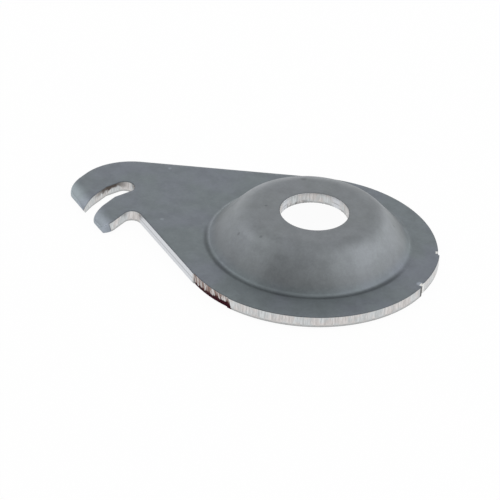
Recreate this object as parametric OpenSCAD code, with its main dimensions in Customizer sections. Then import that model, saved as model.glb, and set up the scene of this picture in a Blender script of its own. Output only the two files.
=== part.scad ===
// Domed steel washer with a tail, pressed and cut from one flat sheet.
// A round flange carries a pressed dome with a bore in its flat crown. Two straight sides,
// tangent to the flange, close in to a tail. The tail turns into a hook: a slot cuts it into
// two prongs, and the ends of the prongs droop.
// The origin is on the bore axis, at the crown's top face. The tail points along -X.

/* [Sheet] */
// Thickness of the steel sheet
sheet_t = 1.5; // [1:0.1:2]

/* [Flange] */
// Diameter of the round flange
flange_d = 34; // [33:0.5:44]
// How far the flange was struck off the bore axis, towards the slot's mouth
flange_shift = 0.9; // [0:0.1:1.2]

/* [Dome] */
// Rise of the crown above the flange
dome_rise = 4.7; // [4.2:0.1:6]
// Diameter at which the dome's foot runs out into the flange
foot_d = 27.4; // [25:0.2:28.6]
// How far the dome was struck off the bore axis, towards the tail
dome_shift = 0.5; // [0:0.1:1]
// Slope of the dome's wall, in degrees from the flange
wall_slope = 48; // [44:1:60]
// Radius of the shoulder between crown and wall, on the outside
shoulder_r = 3.8; // [3:0.1:4.6]
// Radius of the hollow between wall and flange, on the outside
hollow_r = 0.9; // [0.5:0.1:2]

/* [Bore] */
// Diameter of the hole through the crown
bore_d = 9; // [6:0.5:13]

/* [Tail] */
// Angle of each straight side of the tail to the tail's own line
tail_taper = 28.75; // [22:0.25:31]
// Radius of the heel, where the far side of the tail turns into the hook
heel_r = 8; // [5:0.5:9]

/* [Hook] */
// Distance from the bore axis to the slot's middle line, square to the tail
slot_reach = 28; // [26.4:0.2:30]
// Width of the slot at its open end
slot_w = 2.3; // [2:0.1:2.8]
// Length of the slot along its middle line, to the prongs' ends
slot_len = 8.7; // [7:0.1:10]
// Width of the slot's round blind end
slot_end_w = 2.6; // [2.2:0.1:3]
// How far the blind end stands off the slot's middle line, towards the bore
slot_end_shift = 0.75; // [0.5:0.05:1.2]
// Angle by which the slot bends on its way to the blind end
slot_bend = 19; // [15:1:30]
// Width of the outer prong
outer_prong_w = 4.2; // [3.6:0.1:6]
// Width of the inner prong
inner_prong_w = 3.4; // [3.1:0.1:4.2]
// How far the prongs reach past the near side of the tail
prong_reach = 5.8; // [5:0.1:7.5]
// Radius of the outer prong's far corner
outer_tip_r = 2.1; // [1.5:0.1:3.5]
// Radius of both corners of the inner prong
inner_tip_r = 1.4; // [0.6:0.1:1.4]
// Radius in the corner between the inner prong and the tail's side
notch_r = 1.2; // [0.6:0.1:2.5]

/* [Drooped ends] */
// Length over which the prongs' ends droop
droop_len = 2.4; // [1.5:0.1:2.6]
// Radius of the droop on the top face
droop_top_r = 3; // [2.8:0.1:4]
// Radius of the droop on the underside
droop_under_r = 7; // [6:0.5:10]
// Slope of the prongs' end faces, in degrees from upright
end_slope = 38; // [20:1:45]

/* [Cut-off marks] */
// Radius of the cut-off that is struck about the bore axis
cutoff_r = 16.75; // [16.6:0.05:17]
// Direction from the bore axis in which that cut-off starts
cutoff_from = 0.5; // [0:0.5:6]
// Direction from the bore axis in which that cut-off ends
cutoff_to = 27; // [18:1:34]
// Width of the nick at each end of that cut-off
nick_w = 0.6; // [0.3:0.05:0.8]
// Depth of the nick at its start, from the flange's edge
start_nick = 0.45; // [0.3:0.05:0.8]
// Depth of the nick at its end, from the flange's edge
end_nick = 0.35; // [0.1:0.05:0.8]
// Depth of the rusty cut-off beside the tail's near side
rust_cut = 0.12; // [0.05:0.01:0.3]
// Angle that the rusty cut-off takes of the flange's edge
rust_angle = 24; // [10:1:30]
// Angle between the tail's near side and the rusty cut-off
rust_gap = 1; // [0.5:0.5:4]

/* [Hidden] */
$fn = 96;
steel = [0.46, 0.48, 0.49];

// Room by which a cutting shape runs past what it cuts
past = 1;
// Height of the blank above the flange, before the side views trim it
spare = 0.5;
// Room by which the flat blank runs past the slanted end faces that trim it
end_room = 0.1;
// Overlap by which a round corner reaches back over the straight-cut outline that it rounds
lap = 0.2;
// Hair by which an arc crosses the lines that it runs into
hair = 0.0005;
// Flat band of flange that the dome's section carries outside its foot
band = 0.5;
// Angle from the end of the cut-off about the bore axis to the nick beyond it
nick_step = 2;

// A unit step in a direction, and the place where two lines meet
function dir(a) = [cos(a), sin(a)];
function cross2(u, v) = u[0] * v[1] - u[1] * v[0];
function meet(p, a, q, b) = p + dir(a) * cross2(q - p, dir(b)) / cross2(dir(a), dir(b));

// Centre of a round corner of radius r: inside two lines, each with its outward normal
function corner_c(p, n, q, m, r) = meet(p - r * dir(n), n + 90, q - r * dir(m), m + 90);

// Heights of the flange, the crown being at nought
flange_top = -dome_rise;
flange_under = flange_top - sheet_t;

// Flange, and the two straight sides that leave it at a tangent
flange_r = flange_d / 2;
flange_c = [0, -flange_shift];
far_normal = 90 + tail_taper;
near_normal = 270 - tail_taper;
near_way = 180 - tail_taper;
far_start = flange_c + flange_r * dir(far_normal);
near_start = flange_c + flange_r * dir(near_normal);

// Slot and prongs: across points away from the bore, out points to the slot's mouth, and bent
// points across the bent stretch of the slot
across = 180;
out = 270;
bent = across - slot_bend;
slot_far = (slot_reach + slot_w / 2) * dir(across);
slot_near = (slot_reach - slot_w / 2) * dir(across);
hook_back = slot_far + outer_prong_w * dir(across);
notch_side = slot_near - inner_prong_w * dir(across);
tip_line = near_start + prong_reach * dir(near_normal);
end_line = tip_line + end_room * dir(near_normal);
slot_mouth = meet(slot_reach * dir(across), out, tip_line, near_way);
slot_end_r = slot_end_w / 2;
slot_end_c = slot_mouth - (slot_len - slot_end_r) * dir(out) - slot_end_shift * dir(across);
slot_end_far = slot_end_c + slot_end_r * dir(bent);
slot_end_near = slot_end_c - slot_end_r * dir(bent);

// Centres of the blank's round corners
heel_c = corner_c(far_start, far_normal, hook_back, across, heel_r);
outer_tip_c = corner_c(hook_back, across, end_line, near_normal, outer_tip_r);
inner_tip_c = corner_c(slot_near, across, end_line, near_normal, inner_tip_r);
notch_tip_c = corner_c(notch_side, across + 180, end_line, near_normal, inner_tip_r);
notch_c = corner_c(notch_side, across, near_start, near_normal + 180, notch_r);

// Dome's axis in plan
dome_c = [-dome_shift, 0];

// Dome section: the crown's flat radius, and the centres of the shoulder and of the hollow
wall_drop = dome_rise - (shoulder_r + hollow_r) * (1 - cos(wall_slope));
wall_run = wall_drop / tan(wall_slope);
crown_r = foot_d / 2 - (shoulder_r + hollow_r) * sin(wall_slope) - wall_run;
shoulder_c = [crown_r, -shoulder_r];
hollow_c = [foot_d / 2, flange_top + hollow_r];
wall_normal = 90 - wall_slope;

// Drooped ends: where the droop starts, measured square to the prongs' ends, and how far the
// top face has dropped at the ends
droop_at = tip_line * dir(near_normal) - droop_len;
droop_drop = droop_top_r - sqrt(droop_top_r * droop_top_r - droop_len * droop_len);

// What a round corner adds to a straight-cut one, or takes from it: the disc of radius r
// about c, beyond the chord between two directions
module cap(c, r, from, to) {
    chord = r * cos((to - from) / 2);
    intersection() {
        translate(c) circle(r = r + hair);
        translate(c) rotate((from + to) / 2) translate([chord - lap, -2 * r]) square([2 * r, 4 * r]);
    }
}

// A slice of a disc about c, from one direction to another
module slice(c, r, from, to) {
    intersection() {
        translate(c) circle(r = r);
        polygon([c, c + 2 * r * dir(from), c + 2 * r * dir((from + to) / 2), c + 2 * r * dir(to)]);
    }
}

// Plan of the tail and its hook, with each round corner cut straight across
module tail_plan() {
    polygon([
        far_start,
        heel_c + heel_r * dir(far_normal),
        heel_c + heel_r * dir(across),
        outer_tip_c + outer_tip_r * dir(across),
        outer_tip_c + outer_tip_r * dir(near_normal),
        meet(slot_far, out, end_line, near_way),
        meet(slot_end_far, bent - 90, slot_far, out),
        slot_end_far,
        slot_end_near,
        meet(slot_end_near, bent - 90, slot_near, out),
        inner_tip_c + inner_tip_r * dir(across),
        inner_tip_c + inner_tip_r * dir(near_normal),
        notch_tip_c + inner_tip_r * dir(near_normal),
        notch_tip_c - inner_tip_r * dir(across),
        notch_c + notch_r * dir(across),
        notch_c - notch_r * dir(near_normal),
        near_start
    ]);
}

// Plan of the blank: flange, tail and hook, with every corner round
module blank_plan() {
    difference() {
        union() {
            tail_plan();
            translate(flange_c) circle(r = flange_r + hair);
            slice([0, 0], cutoff_r, cutoff_from, cutoff_to);
            cap(heel_c, heel_r, far_normal, across);
            cap(outer_tip_c, outer_tip_r, across, near_normal);
            cap(inner_tip_c, inner_tip_r, across, near_normal);
            cap(notch_tip_c, inner_tip_r, near_normal, across + 180);
        }
        cap(slot_end_c, slot_end_r, bent - 180, bent);
        cap(notch_c, notch_r, near_normal - 180, across);
    }
}

// The rim beyond radius r about c, from one direction to another
module rim(c, r, from, to) {
    difference() {
        slice(c, r + past, from, to);
        translate(c) circle(r = r);
    }
}

// A square nick in the flange's edge, in a direction from the bore axis
module nick(a, depth) {
    edge = flange_r - flange_shift * sin(a);
    rotate(a) translate([edge - depth, -nick_w / 2]) square([depth + past, nick_w]);
}

// Marks left where the washer was cut from its strip
module cutoff_plan() {
    rim([0, 0], cutoff_r, cutoff_from, cutoff_to + nick_step);
    rim(flange_c, flange_r - rust_cut, near_normal + rust_gap, near_normal + rust_angle);
    nick(cutoff_from, start_nick);
    nick(cutoff_to + nick_step, end_nick);
}

// What lies above the sheet, in a side view with its origin on the top face where the droop
// starts: the room over the flat, over the droop and beyond the slanted end
module above_side() {
    translate([-2 * flange_d, 0]) square([2 * flange_d, past]);
    difference() {
        translate([0, -2 * sheet_t]) square([2 * droop_len, 2 * sheet_t + past]);
        translate([0, -droop_top_r]) circle(r = droop_top_r);
    }
    translate([droop_len, -droop_drop]) rotate(-end_slope) translate([0, -2 * sheet_t])
        square([2 * droop_len, 4 * sheet_t]);
}

// What lies below the sheet, in a side view with its origin on the underside where the droop
// starts
module below_side() {
    translate([-2 * flange_d, -2 * sheet_t]) square([2 * flange_d, 2 * sheet_t]);
    intersection() {
        translate([0, -2 * sheet_t]) square([2 * droop_len, 2 * sheet_t]);
        translate([0, -droop_under_r]) circle(r = droop_under_r);
    }
}

// A side view drawn square to the prongs' ends, swept right across the blank at a height
module swept_side(z) {
    width = 4 * flange_d;
    translate([0, 0, z]) rotate(near_normal) translate([droop_at, width / 2, 0])
        rotate([90, 0, 0]) linear_extrude(width) children();
}

// The flat sheet with its hook, open where the dome rises
module plate() {
    difference() {
        translate([0, 0, flange_under - sheet_t]) linear_extrude(2 * sheet_t + spare) difference() {
            blank_plan();
            cutoff_plan();
            translate(dome_c) circle(r = foot_d / 2 + band);
        }
        swept_side(flange_top) above_side();
        swept_side(flange_under) below_side();
    }
}

// Section of the dome, from a pilot hole inside the bore out to the band of flange
module dome_section() {
    pilot_r = bore_d / 2 - dome_shift - past;
    seam_r = foot_d / 2 + band;
    in_shoulder_r = shoulder_r - sheet_t;
    under_r = hollow_r + sheet_t;
    difference() {
        union() {
            polygon([
                [pilot_r, 0],
                [crown_r, 0],
                shoulder_c + shoulder_r * dir(wall_normal),
                hollow_c - hollow_r * dir(wall_normal),
                [foot_d / 2, flange_top],
                [seam_r, flange_top],
                [seam_r, flange_under],
                [foot_d / 2, flange_under],
                hollow_c - under_r * dir(wall_normal),
                shoulder_c + in_shoulder_r * dir(wall_normal),
                [crown_r, -sheet_t],
                [pilot_r, -sheet_t]
            ]);
            cap(shoulder_c, shoulder_r, wall_normal, 90);
            cap(hollow_c, under_r, 180 + wall_normal, 270);
        }
        cap(shoulder_c, in_shoulder_r, wall_normal, 90);
        cap(hollow_c, hollow_r, 180 + wall_normal, 270);
    }
}

// The dome, pressed about its own axis and bored on the bore's
module dome() {
    difference() {
        translate(dome_c) rotate_extrude() dome_section();
        translate([0, 0, -sheet_t - past]) cylinder(h = sheet_t + 2 * past, d = bore_d);
    }
}

module washer() {
    color(steel) union() {
        plate();
        dome();
    }
}

washer();
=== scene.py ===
"""Dresses a domed steel washer with a slotted tail, lying on a white studio ground.

The washer is one piece of pickled and tumbled steel sheet. Its shape is built again from the
driving sizes of the part, with what the press leaves on such a piece: rolled-over top edges,
sheared walls with their burnished and broken bands, nicks and a rusty stretch. Sizes are in
millimetres until a mesh is made, and the scene is in metres.
"""

import logging
import math
from dataclasses import dataclass, field
from enum import IntEnum
from typing import Any, Optional, Union

import bpy
import numpy as np
from bpy.types import Node
from bpy.types import NodeSocket as Socket
from bpy.types import NodeTree as Tree
from mathutils import Matrix, Vector
from mathutils.geometry import delaunay_2d_cdt

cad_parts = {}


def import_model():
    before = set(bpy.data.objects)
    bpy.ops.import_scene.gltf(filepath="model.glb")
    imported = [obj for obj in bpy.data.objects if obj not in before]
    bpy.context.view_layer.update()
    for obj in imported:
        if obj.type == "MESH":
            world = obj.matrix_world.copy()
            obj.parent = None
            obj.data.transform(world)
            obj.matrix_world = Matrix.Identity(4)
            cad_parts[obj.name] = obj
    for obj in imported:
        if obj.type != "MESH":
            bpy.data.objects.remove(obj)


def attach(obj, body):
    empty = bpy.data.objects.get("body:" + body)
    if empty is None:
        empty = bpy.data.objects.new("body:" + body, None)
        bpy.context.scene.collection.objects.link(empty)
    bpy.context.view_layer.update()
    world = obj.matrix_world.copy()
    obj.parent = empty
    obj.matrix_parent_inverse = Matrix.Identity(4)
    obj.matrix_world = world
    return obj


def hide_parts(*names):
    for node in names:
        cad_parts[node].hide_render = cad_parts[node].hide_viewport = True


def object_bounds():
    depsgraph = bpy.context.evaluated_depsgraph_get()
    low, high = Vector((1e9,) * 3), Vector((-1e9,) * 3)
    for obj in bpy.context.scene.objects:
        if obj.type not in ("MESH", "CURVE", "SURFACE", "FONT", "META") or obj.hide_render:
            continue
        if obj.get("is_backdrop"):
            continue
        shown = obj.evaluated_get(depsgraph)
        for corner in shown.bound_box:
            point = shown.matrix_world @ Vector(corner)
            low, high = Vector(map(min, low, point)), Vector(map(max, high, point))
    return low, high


MM = 0.001
# Angle in degrees from which an edge of the mesh is drawn sharp
SHARP_FROM = 40.0
# Rounds after which the slant of the prongs' ends no longer changes
SLANT_ROUNDS = 20
# Points of a face nearer than this, in millimetres, are one point
SAME_POINT = 1e-7
# The depth mark of points that lie on no sheared wall
OFF_WALL = -1.0
# What the sheared wall's material reads from the mesh
WALL_MARKS = ("depth", "run", "rust", "slit", "torn", "smear", "teeth", "seam")
# A Map Range node's setting for a change without corners
SOFTLY = {"interpolation_type": "SMOOTHSTEP"}
# One value for a ring of points, or one for each, or none
Row = Union[float, np.ndarray, None]
# What goes into a node's input
Feed = Union[float, tuple, Socket, Node]
log = logging.getLogger("washer")


def heading(angle_deg: float) -> np.ndarray:
    """A unit step in a direction of the plan, given in degrees."""
    a = math.radians(angle_deg)
    return np.array([math.cos(a), math.sin(a)])


def meeting(p: np.ndarray, way_p: float, q: np.ndarray, way_q: float) -> np.ndarray:
    """Finds where two lines of the plan meet.

    Args:
        p: A point on the first line.
        way_p: The first line's direction, in degrees.
        q: A point on the second line.
        way_q: The second line's direction, in degrees.

    Returns:
        The crossing point.
    """
    u, v, w = heading(way_p), heading(way_q), q - p
    return p + u * (w[0] * v[1] - w[1] * v[0]) / (u[0] * v[1] - u[1] * v[0])


def corner_centre(p: np.ndarray, n: float, q: np.ndarray, m: float, r: float) -> np.ndarray:
    """Finds the centre of a round corner of radius r.

    Args:
        p: A point on the first line.
        n: The first line's outward normal, in degrees.
        q: A point on the second line.
        m: The second line's outward normal, in degrees.
        r: The corner's radius.

    Returns:
        The centre, r inside both lines.
    """
    return meeting(p - r * heading(n), n + 90, q - r * heading(m), m + 90)


@dataclass(frozen=True)
class WasherSizes:
    """The driving sizes of the washer, in millimetres and degrees.

    Attributes:
        sheet_t: The sheet's thickness.
        flange_d: The flange's diameter.
        flange_shift: How far its centre lies off the bore axis, on the side of the slot's mouth.
        dome_rise: Height of the crown over the flange.
        foot_d: Diameter of the dome's foot.
        dome_shift: How far the dome's axis lies off the bore axis, on the tail's side.
        wall_slope: Slope of the dome's side.
        shoulder_r: Radius of its shoulder, on top.
        hollow_r: Radius of the hollow at its foot, on top.
        bore_d: The bore's diameter.
        tail_taper: How far each side of the tail leans in.
        heel_r: Radius between the tail's far side and the hook's back.
        slot_reach: Distance from the bore axis to the slot's middle line.
        slot_w: The slot's width.
        slot_len: Its length, from the mouth to the round end.
        slot_end_w: Width of the round end.
        slot_end_shift: How far the round end lies off the middle line, on the bore's side.
        slot_bend: How far the slot bends before the round end.
        outer_prong_w: Width of the prong beyond the slot.
        inner_prong_w: Width of the prong before it.
        prong_reach: How far the prongs' ends stand past the tail's near side.
        outer_tip_r: Radius of the outer prong's round tip.
        inner_tip_r: Radius of the inner prong's two round corners.
        notch_r: Radius of the notch behind the inner prong.
        droop_len: Length over which the prongs' ends droop.
        droop_top_r: Radius of the droop, on top.
        droop_under_r: The same, below.
        end_slope: How far the ends' faces slant from upright.
        cutoff_r: Radius of the cut-off, about the bore axis.
        cutoff_from: Direction from the bore axis in which the cut-off starts.
        cutoff_to: Direction in which it ends.
        nick_step: Angle from there to the second nick.
        nick_w: Width of a nick.
        start_nick: Depth of the first nick.
        end_nick: Depth of the second nick.
        rust_cut: How far the flange's edge lies back along the rusty stretch.
        rust_angle: Angle from the tail's near side to the end of that stretch.
        rust_gap: Angle from the tail's near side to the step in that stretch.
        across: Direction across the slot, away from the bore.
        out: Direction along the slot, towards its mouth.
    """

    sheet_t: float = 1.5
    flange_d: float = 34.0
    flange_shift: float = 0.9
    dome_rise: float = 4.7
    foot_d: float = 27.4
    dome_shift: float = 0.5
    wall_slope: float = 48.0
    shoulder_r: float = 3.8
    hollow_r: float = 0.9
    bore_d: float = 9.0
    tail_taper: float = 28.75
    heel_r: float = 8.0
    slot_reach: float = 28.0
    slot_w: float = 2.3
    slot_len: float = 8.7
    slot_end_w: float = 2.6
    slot_end_shift: float = 0.75
    slot_bend: float = 19.0
    outer_prong_w: float = 4.2
    inner_prong_w: float = 3.4
    prong_reach: float = 5.8
    outer_tip_r: float = 2.1
    inner_tip_r: float = 1.4
    notch_r: float = 1.2
    droop_len: float = 2.4
    droop_top_r: float = 3.0
    droop_under_r: float = 7.0
    end_slope: float = 38.0
    cutoff_r: float = 16.75
    cutoff_from: float = 0.5
    cutoff_to: float = 27.0
    nick_step: float = 2.0
    nick_w: float = 0.6
    start_nick: float = 0.45
    end_nick: float = 0.35
    rust_cut: float = 0.12
    rust_angle: float = 24.0
    rust_gap: float = 1.0
    across: float = 180.0
    out: float = 270.0

    @property
    def flange_top(self) -> float:
        """Height of the flange's top face, the crown being at nought."""
        return -self.dome_rise

    @property
    def near_normal(self) -> float:
        """Outward direction of the tail's near side, to which the prongs' ends are parallel."""
        return 270 - self.tail_taper

    @property
    def far_normal(self) -> float:
        """Outward direction of the tail's far side."""
        return 90 + self.tail_taper

    @property
    def bent(self) -> float:
        """Direction across the bent stretch of the slot."""
        return self.across - self.slot_bend

    @property
    def flange_centre(self) -> np.ndarray:
        """Centre of the flange in the plan."""
        return np.array([0, -self.flange_shift])

    @property
    def dome_centre(self) -> np.ndarray:
        """The dome's axis in the plan."""
        return np.array([-self.dome_shift, 0])

    @property
    def near_start(self) -> np.ndarray:
        """Where the tail's near side leaves the flange."""
        return self.flange_centre + self.flange_d / 2 * heading(self.near_normal)

    @property
    def droop_at(self) -> float:
        """Distance from the bore axis, square to the prongs' ends, where the droop starts."""
        ends = float(self.near_start @ heading(self.near_normal)) + self.prong_reach
        return ends - self.droop_len

    def droop(self, past: np.ndarray, r: float) -> np.ndarray:
        """Change in height of a face that bends down with radius r, past the droop's start."""
        return np.sqrt(r**2 - np.clip(past, 0, self.droop_len) ** 2) - r

    @property
    def slant_back(self) -> float:
        """How far the slanted ends have gone back by the underside."""
        back = 0.0
        slope = math.tan(math.radians(self.end_slope))
        top = self.droop(self.droop_len, self.droop_top_r)
        # The underside's own height there depends on the answer, so it is reached in rounds
        for _ in range(SLANT_ROUNDS):
            under = self.droop(self.droop_len - back, self.droop_under_r) - self.sheet_t
            back = (top - under) * slope
        return float(back)


class Edge(IntEnum):
    """How a stretch of the washer's outline was made.

    Attributes:
        SHEARED: Cut by punch and die.
        SLIT: Cut with the strip, before the press, which leaves it smoother.
        RUSTED: Sheared and since rusted.
        CUTOFF: Struck off after the rest, about the bore axis.
        NICK: The mark at an end of the cut-off.
        SKINNED: Covered by the sheet's own skin, drawn over the wall.
        SMEARED: Sheared, with painted shade on the upper part of its wall.
    """

    SHEARED = 0
    SLIT = 1
    RUSTED = 2
    CUTOFF = 3
    NICK = 4
    SKINNED = 5
    SMEARED = 6


@dataclass
class Outline:
    """The washer's outline as a closed run of points, with the material on its left.

    The prongs' ends slant back, so the underside has an outline of its own. Point by point it
    matches that of the top.

    Attributes:
        sizes: The driving sizes.
        spacing: Distance between points.
        nick_spacing: The same, in a nick.
        turn_blend: Over how many points on each side the way inward turns at a corner.
        skinned_share: Share of the round tip by the notch where the skin was drawn over.
        top: Plan position of each point of the top edge.
        under: Plan position of each point of the bottom edge.
        edges: How the wall between them was made.
    """

    sizes: WasherSizes
    spacing: float = 0.12
    nick_spacing: float = 0.04
    turn_blend: int = 3
    skinned_share: float = 0.66
    top: list = field(default_factory=list)
    under: list = field(default_factory=list)
    edges: list = field(default_factory=list)

    def _add(self, top: np.ndarray, under: np.ndarray, edge: Edge) -> None:
        """Adds a stretch, all but its last point, which starts the next stretch.

        Args:
            top: Its points at the top edge.
            under: Its points at the bottom edge.
            edge: How its wall was made.
        """
        self.top.extend(top[:-1])
        self.under.extend(under[:-1])
        self.edges.extend([edge] * (len(top) - 1))

    def _count(self, length: float, edge: Edge) -> int:
        """Number of steps along a stretch of a given length."""
        return max(1, round(length / (self.nick_spacing if edge == Edge.NICK else self.spacing)))

    def line(
        self, start: np.ndarray, end: np.ndarray, edge: Edge = Edge.SHEARED, under: tuple = ()
    ) -> None:
        """Adds a straight stretch.

        Args:
            start: Its first point.
            end: Its last point.
            edge: How its wall was made.
            under: The first and last points at the bottom edge, where they differ.
        """
        points = self._count(float(np.linalg.norm(end - start)), edge) + 1
        low = np.linspace(*(under or (start, end)), points)
        self._add(np.linspace(start, end, points), low, edge)

    def arc(
        self, centre: np.ndarray, r: float, start: float, end: float,
        edge: Edge = Edge.SHEARED, under: tuple = (), skinned: float = 0.0,
    ) -> None:
        """Adds an arc.

        Args:
            centre: Its centre.
            r: Its radius.
            start: Direction of its first point from the centre, in degrees.
            end: Direction of its last point.
            edge: How its wall was made.
            under: The two directions at the bottom edge, where they differ.
            skinned: Share of the arc, from its start, where the skin was drawn over the wall.
        """
        count = self._count(math.radians(abs(end - start)) * r, edge)
        top, low = (
            np.array([centre + r * heading(a) for a in np.linspace(*ends, count + 1)])
            for ends in ((start, end), under or (start, end))
        )
        self._add(top, low, edge)
        first = len(self.edges) - count
        for k in range(round(skinned * count)):
            self.edges[first + k] = Edge.SKINNED

    def _flange_edge(self, bore_angle: float) -> np.ndarray:
        """Finds a point of the flange's edge.

        Args:
            bore_angle: Its direction from the bore axis, in degrees.

        Returns:
            The point in the plan.
        """
        s = self.sizes
        a = math.radians(bore_angle)
        reach = -s.flange_shift * math.sin(a) + math.sqrt(
            (s.flange_d / 2) ** 2 - (s.flange_shift * math.cos(a)) ** 2
        )
        return reach * heading(bore_angle)

    def _flange(self) -> None:
        """Adds the flange's edge, with its rusty stretch, its cut-off and its two nicks."""
        s = self.sizes
        centre, r = s.flange_centre, s.flange_d / 2

        def about_flange(p: np.ndarray) -> float:
            """Direction of a point from the flange's centre."""
            return math.degrees(math.atan2(p[1] - centre[1], p[0] - centre[0]))

        rust_from, rust_to = s.near_normal + s.rust_gap, s.near_normal + s.rust_angle
        rust_r = r - s.rust_cut
        step_in, step_out = heading(rust_from), heading(rust_to)
        self.arc(centre, r, s.near_normal, rust_from, Edge.RUSTED)
        self.line(centre + r * step_in, centre + rust_r * step_in, Edge.RUSTED)
        self.arc(centre, rust_r, rust_from, rust_to, Edge.RUSTED)
        self.line(centre + rust_r * step_out, centre + r * step_out, Edge.RUSTED)

        half = math.degrees(s.nick_w / 2 / r)

        def nick(at: float, depth: float) -> list:
            """The four corners of a nick in the flange's edge."""
            rims = [self._flange_edge(at - half), self._flange_edge(at + half)]
            return [rims[0], rims[0] - depth * heading(at), rims[1] - depth * heading(at), rims[1]]

        first = nick(s.cutoff_from, s.start_nick)
        last = nick(s.cutoff_to + s.nick_step, s.end_nick)
        self.arc(centre, r, rust_to, 360 + about_flange(first[0]))
        self.line(first[0], first[1], Edge.NICK)
        self.line(first[1], first[2], Edge.NICK)
        self.line(first[2], s.cutoff_r * heading(s.cutoff_from + half), Edge.NICK)
        self.arc(np.zeros(2), s.cutoff_r, s.cutoff_from + half, s.cutoff_to, Edge.CUTOFF)
        step = self._flange_edge(s.cutoff_to)
        self.line(s.cutoff_r * heading(s.cutoff_to), step, Edge.CUTOFF)
        self.arc(centre, r, about_flange(step), about_flange(last[0]), Edge.CUTOFF)
        for start, end in zip(last, last[1:]):
            self.line(start, end, Edge.NICK)
        self.arc(centre, r, about_flange(last[3]), s.far_normal)

    def _hook(self) -> None:
        """Adds the tail's two sides and the hook with its slot and prongs."""
        s = self.sizes
        far, near, across = s.far_normal, s.near_normal, s.across
        far_start = s.flange_centre + s.flange_d / 2 * heading(far)
        tips = s.near_start + s.prong_reach * heading(near)
        tips_under = tips - s.slant_back * heading(near)
        half = s.slot_w / 2
        slot_far = (s.slot_reach + half) * heading(across)
        slot_near = (s.slot_reach - half) * heading(across)
        hook_back = slot_far + s.outer_prong_w * heading(across)
        notch_side = slot_near - s.inner_prong_w * heading(across)
        mouth = meeting(s.slot_reach * heading(across), s.out, tips, near + 90)
        end_r = s.slot_end_w / 2
        slot_end = mouth - (s.slot_len - end_r) * heading(s.out)
        slot_end -= s.slot_end_shift * heading(across)
        end_far, end_near = (slot_end + side * end_r * heading(s.bent) for side in (1, -1))
        bend_far = meeting(end_far, s.bent - 90, slot_far, s.out)
        bend_near = meeting(end_near, s.bent - 90, slot_near, s.out)
        point, point_under = (
            meeting(slot_far, s.out, end, near + 90) for end in (tips, tips_under)
        )
        heel = corner_centre(far_start, far, hook_back, across, s.heel_r)
        outer = corner_centre(hook_back, across, tips, near, s.outer_tip_r)
        inner = corner_centre(slot_near, across, tips, near, s.inner_tip_r)
        by_notch = corner_centre(notch_side, across + 180, tips, near, s.inner_tip_r)
        notch = corner_centre(notch_side, across, s.near_start, near + 180, s.notch_r)

        def short_of(r: float) -> float:
            """Degrees by which a round tip stops short of its end at the underside."""
            return math.degrees(math.acos(1 - s.slant_back / r))

        outer_end, inner_end = near - short_of(s.outer_tip_r), near - short_of(s.inner_tip_r)
        by_notch_end = near + short_of(s.inner_tip_r)

        self.line(far_start, heel + s.heel_r * heading(far))
        self.arc(heel, s.heel_r, far, across)
        self.line(heel + s.heel_r * heading(across), outer + s.outer_tip_r * heading(across))
        self.arc(outer, s.outer_tip_r, across, near, Edge.SKINNED, under=(across, outer_end))
        self.line(
            outer + s.outer_tip_r * heading(near), point, Edge.SKINNED,
            under=(outer + s.outer_tip_r * heading(outer_end), point_under),
        )
        self.line(point, bend_far, under=(point_under, bend_far))
        # The slot's far wall, with painted shade on its upper part
        self.line(bend_far, end_far, Edge.SMEARED)
        self.arc(slot_end, end_r, s.bent, s.bent - 180)
        self.line(end_near, bend_near)
        self.line(bend_near, inner + s.inner_tip_r * heading(across))
        self.arc(inner, s.inner_tip_r, across, near, Edge.SKINNED, under=(across, inner_end))
        self.line(
            inner + s.inner_tip_r * heading(near), by_notch + s.inner_tip_r * heading(near),
            Edge.SKINNED,
            under=(
                inner + s.inner_tip_r * heading(inner_end),
                by_notch + s.inner_tip_r * heading(by_notch_end),
            ),
        )
        self.arc(
            by_notch, s.inner_tip_r, near, across + 180,
            under=(by_notch_end, across + 180), skinned=self.skinned_share,
        )
        self.line(by_notch - s.inner_tip_r * heading(across), notch + s.notch_r * heading(across))
        self.arc(notch, s.notch_r, across, near - 180)
        self.line(notch - s.notch_r * heading(near), s.near_start, Edge.SLIT)

    def build(self) -> "Outline":
        """Lays out the whole outline.

        Returns:
            The outline itself.
        """
        self._flange()
        self._hook()
        return self

    def arrays(self) -> tuple:
        """Gives the outline as arrays.

        Returns:
            The top edge's points, the bottom edge's points, their edge kinds, the way inward at
            each point, and the distance run to each point.
        """
        top = np.array(self.top)
        ahead = np.roll(top, -1, axis=0) - top
        gaps = np.linalg.norm(ahead, axis=1, keepdims=True)
        ahead /= gaps
        both = ahead + np.roll(ahead, 1, axis=0)
        inward = np.stack([-both[:, 1], both[:, 0]], axis=1)
        inward /= np.linalg.norm(inward, axis=1, keepdims=True)
        inward = smoothed(inward, self.turn_blend)
        inward /= np.linalg.norm(inward, axis=1, keepdims=True)
        run = np.concatenate([[0], np.cumsum(gaps[:-1, 0])])
        return top, np.array(self.under), np.array(self.edges), inward, run


def smoothed(values: np.ndarray, reach: int) -> np.ndarray:
    """Evens out a closed run of values over a number of neighbours on each side."""
    total = sum(np.roll(values, k, axis=0) for k in range(-reach, reach + 1))
    return total / (2 * reach + 1)


def fading(off: np.ndarray, reach: float, even: float = 1 / 3) -> np.ndarray:
    """Makes a mark that is 1 about a middle and falls to 0 at a reach.

    Args:
        off: Distance from the middle, of each point.
        reach: Distance at which the mark is 0.
        even: Share of the reach over which it is 1.

    Returns:
        The mark at each point.
    """
    return np.clip((1 - np.abs(off) / reach) / (1 - even), 0, 1)


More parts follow.
